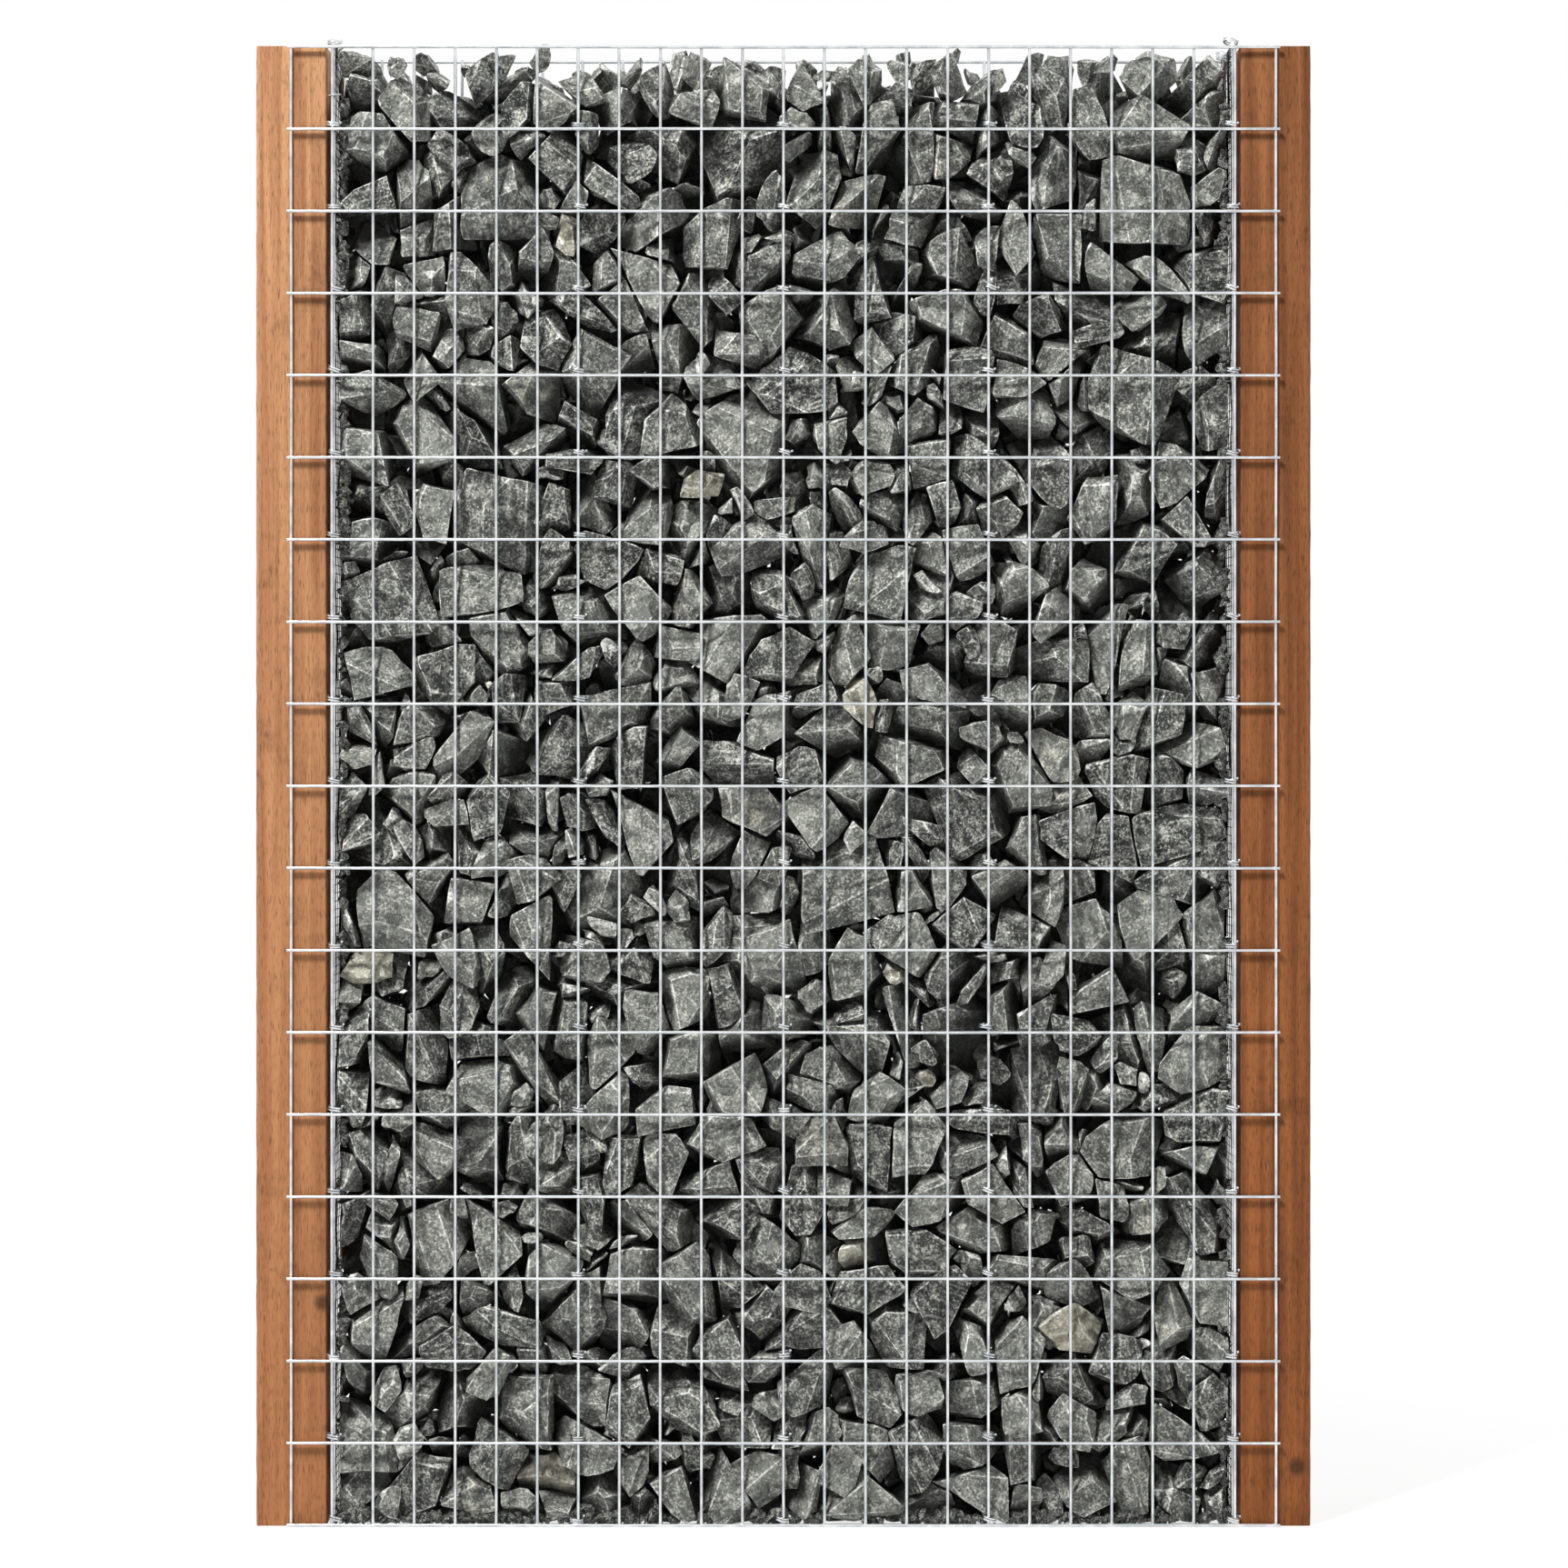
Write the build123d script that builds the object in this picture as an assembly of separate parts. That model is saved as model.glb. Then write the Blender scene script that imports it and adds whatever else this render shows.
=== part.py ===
"""Narrow gabion fence bay: two hardwood posts, welded wire panels in front and behind, and a stone filling.

Frame: millimetres, +Z up, front towards -Y, origin at the centre of the left post's foot, right post on +X.
"""

from build123d import *
import math
import os

# Welded panel: whole cells between the centre lines of the two posts and from the ground up
CELL_WIDTH = 50.0
CELL_HEIGHT = 100.0
CELLS_ACROSS = 24
CELLS_UP = 18
MESH_WIRE = 4.0
WIRE_SIDES = 8
WELD_SINK = 0.4  # how deep a cross wire is welded into an upright wire
WIRE_OVERHANG = 5.0  # a cross wire's end, past the centre of the outermost upright wire

# Posts
POST_SIDE = 85.0
POST_ARRIS = 1.5

# Tie wires from the front panel to the back one, with an eye of two turns at each end
TIE_WIRE = 2.8
TIE_TURNS = 2
TIE_EYE_BORE = 15.0

# Rods behind the panels at the end ties, and fine mesh liners between the end ties and the stone
CORNER_ROD = 4.0
CORNER_ROD_SHIFT = 2.0
LINER_THICKNESS = 1.0

# Stone filling
FILL_HEADROOM = 14.0  # the filling's top, below the top of the panels

# Clearances
SEAT_GAP = 0.3  # between pieces that rest against each other

# Places worked out from the sizes above
BAY_WIDTH = CELLS_ACROSS * CELL_WIDTH
PANEL_HEIGHT = CELLS_UP * CELL_HEIGHT + MESH_WIRE
PANEL_SPLIT = MESH_WIRE / 2 + (CELLS_UP // 2 + 0.5) * CELL_HEIGHT
UPRIGHT_Y = POST_SIDE / 2 + MESH_WIRE / 2
CROSS_Y = UPRIGHT_Y + MESH_WIRE - WELD_SINK
WIRE_CORNER = MESH_WIRE / 2 / math.cos(math.pi / WIRE_SIDES)
ROD_Y = POST_SIDE / 2 - SEAT_GAP - CORNER_ROD / 2
EYE_HEIGHT = TIE_TURNS * TIE_WIRE
EYE_RADIUS = TIE_EYE_BORE / 2 + TIE_WIRE
EYE_REACH = TIE_EYE_BORE / 2 - SEAT_GAP - WIRE_CORNER

# The end ties stand at the first upright wire whose eyes clear the post
EYE_BESIDE_POST = POST_SIDE / 2 + SEAT_GAP + EYE_RADIUS
END_TIE_CELL = math.ceil((EYE_BESIDE_POST - EYE_REACH) / CELL_WIDTH)
END_COLUMN = END_TIE_CELL * CELL_WIDTH
END_EYE_X = max(END_COLUMN, EYE_BESIDE_POST)
LINER_X = END_EYE_X + EYE_RADIUS + SEAT_GAP
LINER_DEPTH = POST_SIDE - 2 * SEAT_GAP
FILL_TOP = PANEL_HEIGHT - FILL_HEADROOM
FILL_DEPTH = POST_SIDE - 2 * SEAT_GAP

# The inner ties stand at the middle wire and half way from it to each end column, in whole cells
HALF_CELLS = CELLS_ACROSS // 2
QUARTER_CELLS = (HALF_CELLS - END_TIE_CELL) // 2
INNER_TIE_COLUMNS = [
    (HALF_CELLS - QUARTER_CELLS) * CELL_WIDTH,
    HALF_CELLS * CELL_WIDTH,
    (HALF_CELLS + QUARTER_CELLS) * CELL_WIDTH,
]
CROSS_HEIGHTS = [MESH_WIRE / 2 + row * CELL_HEIGHT for row in range(CELLS_UP + 1)]


def straight_wire(start, end, diameter):
    """A wire as a bar of few sides, with a flat towards the front and one towards the back."""
    run = Vector(*end) - Vector(*start)
    section = Plane(origin=start, x_dir=(0, 1, 0), z_dir=run)
    outline = RegularPolygon(diameter / 2, WIRE_SIDES, major_radius=False, rotation=180 / WIRE_SIDES)
    return extrude(section * outline, run.length)


def mesh_panel(side, low, high):
    """The welded panel's stretch from one height to another; side is -1 in front and 1 behind."""
    wires = []
    for column in range(CELLS_ACROSS + 1):
        x = column * CELL_WIDTH
        wires.append(straight_wire((x, side * UPRIGHT_Y, low), (x, side * UPRIGHT_Y, high), MESH_WIRE))
    for z in CROSS_HEIGHTS:
        if low < z < high:
            left = (-WIRE_OVERHANG, side * CROSS_Y, z)
            right = (BAY_WIDTH + WIRE_OVERHANG, side * CROSS_Y, z)
            wires.append(straight_wire(left, right, MESH_WIRE))
    return wires[0].fuse(*wires[1:])


def post(x):
    """A square post with its long edges eased, standing on the ground."""
    timber = Box(POST_SIDE, POST_SIDE, PANEL_HEIGHT, align=(Align.CENTER, Align.CENTER, Align.MIN))
    return Pos(x, 0, 0) * chamfer(timber.edges().filter_by(Axis.Z), POST_ARRIS)


def eye_offset(eye_x, column_x):
    """How far an eye's centre lies behind the upright wire that it pulls on."""
    return math.sqrt(EYE_REACH**2 - (eye_x - column_x) ** 2)


def tie(eye_x, column_x, cross_z):
    """One tie: a straight shaft across the cage with an eye of close turns round each upright wire."""
    base = cross_z + MESH_WIRE / 2 + SEAT_GAP
    eye_y = UPRIGHT_Y - eye_offset(eye_x, column_x)
    eye = Pos(eye_x, -eye_y, base) * extrude(Circle(EYE_RADIUS) - Circle(TIE_EYE_BORE / 2), EYE_HEIGHT)
    shaft_end = eye_y - EYE_RADIUS + TIE_WIRE / 2
    shaft_start = (eye_x, -shaft_end, base + EYE_HEIGHT / 2)
    shaft = extrude(Plane(origin=shaft_start, z_dir=(0, 1, 0)) * Circle(TIE_WIRE / 2), 2 * shaft_end)
    return eye + shaft + mirror(eye, Plane.XZ)


def tie_column(eye_x, column_x, heights):
    """All the ties of one column, each a solid of its own."""
    return Compound(children=[tie(eye_x, column_x, z) for z in heights])


def corner_rod(x, side):
    """An upright rod just inside a panel, standing on the ground."""
    return straight_wire((x, side * ROD_Y, 0), (x, side * ROD_Y, PANEL_HEIGHT), CORNER_ROD)


def end_liner(x):
    """A sheet in place of the fine mesh that keeps the stones off a post."""
    sheet = Box(LINER_THICKNESS, LINER_DEPTH, PANEL_HEIGHT, align=(Align.MIN, Align.CENTER, Align.MIN))
    return Pos(x, 0, 0) * sheet


def stone_block(left, right, low, high, cut_left, cut_right):
    """A plain block in place of loose stones, cut back at its upright edges where tie eyes stand."""
    height = high - low
    block = Box(right - left, FILL_DEPTH, height, align=(Align.MIN, Align.CENTER, Align.MIN))
    block = Pos(left, 0, low) * block
    notch_width = EYE_RADIUS - TIE_WIRE / 2
    notch_inner = UPRIGHT_Y - EYE_REACH - EYE_RADIUS - SEAT_GAP
    notch_depth = FILL_DEPTH / 2 - notch_inner
    notch = Box(2 * notch_width, 2 * notch_depth, height, align=(Align.CENTER, Align.CENTER, Align.MIN))
    edges = [left] * cut_left + [right] * cut_right
    for x in edges:
        for side in (-1, 1):
            block -= Pos(x, side * FILL_DEPTH / 2, low) * notch
    return block


nodes = {
    "left_post": post(0),
    "right_post": post(BAY_WIDTH),
    "front_mesh_lower": mesh_panel(-1, 0, PANEL_SPLIT),
    "front_mesh_upper": mesh_panel(-1, PANEL_SPLIT, PANEL_HEIGHT),
    "back_mesh_lower": mesh_panel(1, 0, PANEL_SPLIT),
    "back_mesh_upper": mesh_panel(1, PANEL_SPLIT, PANEL_HEIGHT),
    "left_end_liner": end_liner(LINER_X),
    "right_end_liner": end_liner(BAY_WIDTH - LINER_X - LINER_THICKNESS),
}

rod_x = END_COLUMN + CORNER_ROD_SHIFT
for name, side in (("front", -1), ("back", 1)):
    nodes[f"{name}_left_corner_rod"] = corner_rod(rod_x, side)
    nodes[f"{name}_right_corner_rod"] = corner_rod(BAY_WIDTH - rod_x, side)

nodes["left_end_ties"] = tie_column(END_EYE_X, END_COLUMN, CROSS_HEIGHTS)
nodes["right_end_ties"] = tie_column(BAY_WIDTH - END_EYE_X, BAY_WIDTH - END_COLUMN, CROSS_HEIGHTS)
for name, x in zip(("left_inner_ties", "centre_ties", "right_inner_ties"), INNER_TIE_COLUMNS):
    nodes[name] = tie_column(x, x, CROSS_HEIGHTS[:-1])

fill_left = LINER_X + LINER_THICKNESS + SEAT_GAP
fill_right = BAY_WIDTH - fill_left
tie_room = TIE_WIRE / 2 + SEAT_GAP
bay_starts = [fill_left] + [x + tie_room for x in INNER_TIE_COLUMNS]
bay_ends = [x - tie_room for x in INNER_TIE_COLUMNS] + [fill_right]
for bay, (start, end) in enumerate(zip(bay_starts, bay_ends), 1):
    tied_left = bay > 1
    tied_right = bay < len(bay_starts)
    for lift, low, high in (("lower", 0, PANEL_SPLIT), ("upper", PANEL_SPLIT, FILL_TOP)):
        nodes[f"stone_bay_{bay}_{lift}"] = stone_block(start, end, low, high, tied_left, tied_right)

os.makedirs("parts", exist_ok=True)
for name, piece in nodes.items():
    export_step(piece, f"parts/{name}.step")
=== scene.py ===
"""Finish of a gabion fence bay: crushed limestone in a cage of galvanised mesh between hardwood posts."""

import math
import random
from collections import defaultdict

import bmesh
import bpy
from mathutils import Euler, Matrix, Vector, noise
from mathutils.bvhtree import BVHTree


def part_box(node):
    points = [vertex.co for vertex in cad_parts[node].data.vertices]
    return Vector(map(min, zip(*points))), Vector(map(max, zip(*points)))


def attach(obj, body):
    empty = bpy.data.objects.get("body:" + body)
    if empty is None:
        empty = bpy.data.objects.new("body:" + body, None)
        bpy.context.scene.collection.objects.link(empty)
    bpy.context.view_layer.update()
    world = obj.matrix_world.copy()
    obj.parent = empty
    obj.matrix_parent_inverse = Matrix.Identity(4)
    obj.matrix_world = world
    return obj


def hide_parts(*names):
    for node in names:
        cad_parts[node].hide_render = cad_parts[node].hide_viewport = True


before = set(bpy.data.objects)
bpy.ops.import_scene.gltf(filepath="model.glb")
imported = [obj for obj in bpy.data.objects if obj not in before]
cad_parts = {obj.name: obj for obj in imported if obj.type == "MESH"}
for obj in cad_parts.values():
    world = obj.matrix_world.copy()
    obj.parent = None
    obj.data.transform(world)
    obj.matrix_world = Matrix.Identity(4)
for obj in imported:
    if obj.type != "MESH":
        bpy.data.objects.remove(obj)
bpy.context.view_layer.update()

MM = 0.001
UP = Vector((0, 0, 1))

# ---------------------------------------------------------------- places taken from the frame

CELLS_ACROSS, CELLS_UP = 24, 18
WIRE = 4 * MM
WIRE_OVERHANG = 5 * MM

post_low, post_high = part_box("left_post")
right_post_low, right_post_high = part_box("right_post")
lower_low, lower_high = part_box("front_mesh_lower")
upper_low, upper_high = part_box("front_mesh_upper")
back_low, back_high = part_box("back_mesh_lower")

PANEL_LEFT = lower_low.x + WIRE_OVERHANG
PANEL_RIGHT = lower_high.x - WIRE_OVERHANG
PANEL_TOP = upper_high.z
PANEL_SPLIT = lower_high.z
CELL_WIDTH = (PANEL_RIGHT - PANEL_LEFT) / CELLS_ACROSS
CELL_HEIGHT = (PANEL_TOP - WIRE) / CELLS_UP
UPRIGHT_Y = -lower_high.y + WIRE / 2  # distance of the upright wires from the middle of the wall
CROSS_Y = -lower_low.y - WIRE / 2
CROSS_HEIGHTS = [WIRE / 2 + row * CELL_HEIGHT for row in range(CELLS_UP + 1)]

TIE_WIRE = 2.8 * MM
TIE_NODES = ("left_end_ties", "left_inner_ties", "centre_ties", "right_inner_ties", "right_end_ties")

END_PUSH = 9 * MM  # how far the stones push the end liners out towards the posts
fill_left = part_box("stone_bay_1_lower")[0].x - END_PUSH
fill_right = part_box("stone_bay_4_lower")[1].x + END_PUSH
fill_half_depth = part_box("stone_bay_1_lower")[1].y
BAY_EDGES = [(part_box(node)[0].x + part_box(node)[1].x) / 2 for node in TIE_NODES[1:4]]

# ---------------------------------------------------------------- camera

FRAME_WIDTH = 1.908  # what the lens takes in at the front panel
LENS = 75
SENSOR = 36
EYE_RISE = 0.095  # how far the eye stands above the middle of the view
VIEW_MIDDLE = Vector((PANEL_LEFT + (PANEL_RIGHT - PANEL_LEFT) / 2 + 0.7 * MM, 0, PANEL_TOP / 2 + 2.5 * MM))


def place_camera():
    """A level camera square to the wall, with a small rise taken back by the lens."""
    lens = bpy.data.cameras.new("camera")
    lens.lens = LENS
    lens.sensor_width = SENSOR
    lens.shift_y = -EYE_RISE / FRAME_WIDTH
    camera = bpy.data.objects.new("camera", lens)
    distance = FRAME_WIDTH * LENS / SENSOR
    camera.location = VIEW_MIDDLE + Vector((0, lower_low.y - distance, EYE_RISE))
    camera.rotation_euler = (math.pi / 2, 0, 0)
    bpy.context.scene.collection.objects.link(camera)
    bpy.context.scene.camera = camera


place_camera()

# ---------------------------------------------------------------- material helpers


def linear(hex_colour):
    """An sRGB hex colour as linear RGBA."""
    channels = [int(hex_colour[i : i + 2], 16) / 255 for i in (1, 3, 5)]
    return (*[c / 12.92 if c <= 0.04045 else ((c + 0.055) / 1.055) ** 2.4 for c in channels], 1.0)


def add_node(tree, kind, inputs=None, **settings):
    """Adds a node with its settings; an input is given a value, a socket or a node's first live output."""
    made = tree.nodes.new(kind)
    for name, value in settings.items():
        setattr(made, name, value)
    for name, value in (inputs or {}).items():
        if isinstance(value, bpy.types.Node):
            value = next(socket for socket in value.outputs if socket.enabled)
        if isinstance(value, bpy.types.NodeSocket):
            tree.links.new(value, made.inputs[name])
        else:
            made.inputs[name].default_value = value
    return made


def new_material(name):
    """An empty material with a shader joined to its output: (material, tree, shader)."""
    material = bpy.data.materials.new(name)
    material.use_nodes = True
    tree = material.node_tree
    tree.nodes.clear()
    shader = add_node(tree, "ShaderNodeBsdfPrincipled")
    add_node(tree, "ShaderNodeOutputMaterial", {"Surface": shader.outputs["BSDF"]})
    return material, tree, shader


def per_mm(size):
    """A texture scale, in cycles per metre, from the size in millimetres of what it draws."""
    return 1 / (size * MM)


# ---------------------------------------------------------------- materials


def galvanised_wire(name, bright, dull, roughness):
    """Drawn steel wire, hot-dip galvanised: a satin zinc skin that clouds to pale oxide in patches."""
    material, tree, shader = new_material(name)
    place = add_node(tree, "ShaderNodeTexCoord").outputs["Object"]
    # Cloudy patches a finger wide
    cloud = add_node(tree, "ShaderNodeTexNoise", {"Vector": place, "Scale": per_mm(22), "Detail": 4.0})
    patch = add_node(tree, "ShaderNodeMapRange", {"Value": cloud, "From Min": 0.38, "From Max": 0.62})
    colour = add_node(
        tree, "ShaderNodeMix", {0: patch, 6: linear(bright), 7: linear(dull)}, data_type="RGBA"
    )
    satin = {"To Min": roughness - 0.08, "To Max": roughness + 0.12}
    sheen = add_node(tree, "ShaderNodeMapRange", {"Value": cloud, "From Min": 0.3, "From Max": 0.7, **satin})
    # Zinc grit, drawn about ten times too coarse so that it shows
    grit = add_node(tree, "ShaderNodeTexNoise", {"Vector": place, "Scale": per_mm(1.2), "Detail": 2.0})
    bump = add_node(tree, "ShaderNodeBump", {"Height": grit, "Strength": 0.25, "Distance": 0.15 * MM})
    tree.links.new(colour.outputs[2], shader.inputs["Base Color"])
    tree.links.new(sheen.outputs["Result"], shader.inputs["Roughness"])
    tree.links.new(bump.outputs["Normal"], shader.inputs["Normal"])
    shader.inputs["Metallic"].default_value = 1.0
    return material


SMUDGE = "#2b1a12"  # a dark spot on each post


def planed_hardwood(name, top, foot, grain, pore, smudge):
    """Planed tropical hardwood: long interlocked streaks along the post, short dark pores, faint stains."""
    material, tree, shader = new_material(name)
    place = add_node(tree, "ShaderNodeTexCoord").outputs["Object"]
    height = add_node(tree, "ShaderNodeSeparateXYZ", {0: place}).outputs["Z"]
    along = add_node(tree, "ShaderNodeMapRange", {"Value": height, "From Max": PANEL_TOP})
    ground = add_node(tree, "ShaderNodeMix", {0: along, 6: linear(foot), 7: linear(top)}, data_type="RGBA")

    # Streaks are drawn 40 times longer than they are wide, pores 14 times
    drawn_out = add_node(tree, "ShaderNodeMapping", {"Vector": place, "Scale": (1, 1, 1 / 40)})
    figure = add_node(
        tree,
        "ShaderNodeTexNoise",
        {"Vector": drawn_out, "Scale": per_mm(14), "Detail": 5.0, "Roughness": 0.6, "Distortion": 0.4},
    )
    share = add_node(
        tree, "ShaderNodeMapRange", {"Value": figure, "From Min": 0.38, "From Max": 0.66, "To Max": 0.85}
    )
    wood = add_node(tree, "ShaderNodeMix", {0: share, 6: ground, 7: linear(grain)}, data_type="RGBA")
    dashes = add_node(tree, "ShaderNodeMapping", {"Vector": place, "Scale": (1, 1, 1 / 14)})
    pores = add_node(
        tree, "ShaderNodeTexNoise", {"Vector": dashes, "Scale": per_mm(1.1), "Detail": 2.0}
    )
    pored = add_node(
        tree, "ShaderNodeMapRange", {"Value": pores, "From Min": 0.54, "From Max": 0.7, "To Max": 0.7}
    )
    wood = add_node(tree, "ShaderNodeMix", {0: pored, 6: wood, 7: linear(pore)}, data_type="RGBA")
    stain = add_node(
        tree, "ShaderNodeTexNoise", {"Vector": place, "Scale": per_mm(60), "Detail": 6.0, "Roughness": 0.7}
    )
    share = add_node(
        tree, "ShaderNodeMapRange", {"Value": stain, "From Min": 0.55, "From Max": 0.75, "To Max": 0.5}
    )
    wood = add_node(tree, "ShaderNodeMix", {0: share, 6: wood, 7: linear(pore)}, data_type="RGBA")
    away = add_node(tree, "ShaderNodeVectorMath", {0: place, 1: smudge}, operation="DISTANCE")
    share = add_node(
        tree,
        "ShaderNodeMapRange",
        {"Value": away, "From Min": 4 * MM, "From Max": 16 * MM, "To Min": 0.75, "To Max": 0.0},
        interpolation_type="SMOOTHSTEP",
    )
    wood = add_node(tree, "ShaderNodeMix", {0: share, 6: wood, 7: linear(SMUDGE)}, data_type="RGBA")
    relief = add_node(tree, "ShaderNodeMath", {0: figure, 1: pored}, operation="SUBTRACT")
    bump = add_node(tree, "ShaderNodeBump", {"Height": relief, "Strength": 0.35, "Distance": 0.4 * MM})
    tree.links.new(wood.outputs[2], shader.inputs["Base Color"])
    tree.links.new(bump.outputs["Normal"], shader.inputs["Normal"])
    shader.inputs["Roughness"].default_value = 0.7
    shader.inputs["Specular IOR Level"].default_value = 0.2
    return material


BREAK_SIZE = 21  # mm across, the small flat breaks within the faces of a stone
BREAK_LEAN = 1.6  # how steeply the small breaks tilt
CREAM = "#b0ac95"
OCHRE = "#8f7350"
# Painted shade for the middle of the fill, where the stones shade one another
INNER_SHADE = "#171817"
UNSHADED_TOP = 80 * MM  # how far down from the top the fill is left without painted shade


def split_limestone(name, dark, pale, dust, bruise):
    """Crushed dark limestone: split faces that catch the light one by one, dusty specks, chipped rims."""
    material, tree, shader = new_material(name)
    tint = add_node(tree, "ShaderNodeAttribute", attribute_name="stone_tint").outputs["Fac"]
    kind = add_node(tree, "ShaderNodeAttribute", attribute_name="stone_kind").outputs["Fac"]
    edge = add_node(tree, "ShaderNodeAttribute", attribute_name="stone_edge").outputs["Fac"]
    within = add_node(tree, "ShaderNodeAttribute", attribute_name="stone_rest").outputs["Vector"]
    # The tint also shifts the pattern, so that two stones of one shape are marked differently
    rest = add_node(
        tree, "ShaderNodeVectorMath", {0: tint, 1: (13, 7, 5), 2: within}, operation="MULTIPLY_ADD"
    )
    patches = add_node(tree, "ShaderNodeTexNoise", {"Vector": rest, "Scale": per_mm(16), "Detail": 4.0})
    specks = add_node(
        tree, "ShaderNodeTexNoise", {"Vector": rest, "Scale": per_mm(3.2), "Detail": 4.0, "Roughness": 0.72}
    )
    beds = add_node(
        tree,
        "ShaderNodeTexWave",
        {"Vector": rest, "Scale": per_mm(30), "Distortion": 7.0, "Detail": 3.0, "Detail Scale": 1.2},
        bands_direction="Z",
    ).outputs["Fac"]

    # Small flat breaks, each tilted its own way, with a ragged step between neighbours
    ragged = add_node(tree, "ShaderNodeTexNoise", {"Vector": rest, "Scale": per_mm(9), "Detail": 3.0})
    strayed = add_node(
        tree,
        "ShaderNodeVectorMath",
        {0: ragged.outputs["Color"], 1: (9 * MM, 9 * MM, 9 * MM), 2: rest},
        operation="MULTIPLY_ADD",
    )
    breaks = add_node(tree, "ShaderNodeTexVoronoi", {"Vector": strayed, "Scale": per_mm(BREAK_SIZE)})
    cell, seed_point = breaks.outputs["Color"], breaks.outputs["Position"]
    lean = add_node(tree, "ShaderNodeVectorMath", {0: cell, 1: (0.5, 0.5, 0.5)}, operation="SUBTRACT")
    reach = add_node(tree, "ShaderNodeVectorMath", {0: strayed, 1: seed_point}, operation="SUBTRACT")
    step = add_node(tree, "ShaderNodeVectorMath", {0: lean, 1: reach}, operation="DOT_PRODUCT")

    tone = add_node(tree, "ShaderNodeMapRange", {"Value": tint, "To Max": 0.92})
    stone = add_node(tree, "ShaderNodeMix", {0: tone, 6: linear(dark), 7: linear(pale)}, data_type="RGBA")
    share = add_node(
        tree, "ShaderNodeMapRange", {"Value": patches, "From Min": 0.42, "From Max": 0.7, "To Max": 0.35}
    )
    stone = add_node(tree, "ShaderNodeMix", {0: share, 6: stone, 7: linear(pale)}, data_type="RGBA")
    # A few stones are calcite: cream, with ochre iron stains
    ochre = add_node(tree, "ShaderNodeMapRange", {"Value": specks, "From Min": 0.5, "From Max": 0.7})
    cream = add_node(
        tree, "ShaderNodeMix", {0: ochre, 6: linear(CREAM), 7: linear(OCHRE)}, data_type="RGBA"
    )
    calcite = add_node(tree, "ShaderNodeMath", {0: patches, 1: 1.0, 2: kind}, operation="MULTIPLY_ADD")
    share = add_node(
        tree, "ShaderNodeMapRange", {"Value": calcite, "From Min": 1.2, "From Max": 1.5, "To Max": 0.8}
    )
    stone = add_node(tree, "ShaderNodeMix", {0: share, 6: stone, 7: cream}, data_type="RGBA")
    share = add_node(tree, "ShaderNodeMapRange", {"Value": beds, "From Min": 0.7, "To Max": 0.2})
    stone = add_node(tree, "ShaderNodeMix", {0: share, 6: stone, 7: linear(dust)}, data_type="RGBA")
    scuffed = add_node(tree, "ShaderNodeMath", {0: patches, 1: 0.35, 2: specks}, operation="MULTIPLY_ADD")
    share = add_node(
        tree, "ShaderNodeMapRange", {"Value": scuffed, "From Min": 0.67, "From Max": 0.82, "To Max": 0.8}
    )
    stone = add_node(tree, "ShaderNodeMix", {0: share, 6: stone, 7: linear(dust)}, data_type="RGBA")
    near_rim = add_node(tree, "ShaderNodeMath", {0: specks, 1: 1.3, 2: edge}, operation="MULTIPLY_ADD")
    bruised = add_node(tree, "ShaderNodeMath", {0: patches, 1: 0.9, 2: near_rim}, operation="MULTIPLY_ADD")
    share = add_node(
        tree, "ShaderNodeMapRange", {"Value": bruised, "From Min": 1.9, "From Max": 2.3, "To Max": 0.9}
    )
    stone = add_node(tree, "ShaderNodeMix", {0: share, 6: stone, 7: linear(bruise)}, data_type="RGBA")
    # Painted shade: stones away from the front, the back and the top of the fill are darkened towards near
    # black, where the stones shade one another; its ragged edge follows the patches
    place = add_node(tree, "ShaderNodeTexCoord").outputs["Object"]
    along = add_node(tree, "ShaderNodeSeparateXYZ", {0: place}).outputs
    sideways = add_node(tree, "ShaderNodeMath", {0: along["Y"]}, operation="ABSOLUTE")
    upward = add_node(tree, "ShaderNodeMath", {0: along["Z"], 1: PANEL_TOP - UNSHADED_TOP}, operation="SUBTRACT")
    outward = add_node(tree, "ShaderNodeMath", {0: sideways, 1: upward}, operation="MAXIMUM")
    shade_falloff = add_node(tree, "ShaderNodeMath", {0: patches, 1: 14 * MM, 2: outward}, operation="MULTIPLY_ADD")
    share = add_node(
        tree,
        "ShaderNodeMapRange",
        {"Value": shade_falloff, "From Min": 24 * MM, "From Max": 44 * MM, "To Min": 0.92, "To Max": 0.0},
    )
    stone = add_node(tree, "ShaderNodeMix", {0: share, 6: stone, 7: linear(INNER_SHADE)}, data_type="RGBA")

    grit = add_node(
        tree, "ShaderNodeTexNoise", {"Vector": rest, "Scale": per_mm(7), "Detail": 4.0, "Roughness": 0.7}
    )
    coarse = add_node(tree, "ShaderNodeBump", {"Height": step, "Strength": 1.0, "Distance": BREAK_LEAN})
    fine = add_node(
        tree, "ShaderNodeBump", {"Height": grit, "Strength": 1.0, "Distance": 3.2 * MM, "Normal": coarse}
    )
    tree.links.new(stone.outputs[2], shader.inputs["Base Color"])
    tree.links.new(fine.outputs["Normal"], shader.inputs["Normal"])
    shader.inputs["Roughness"].default_value = 0.75
    shader.inputs["Specular IOR Level"].default_value = 0.3
    return material


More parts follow.
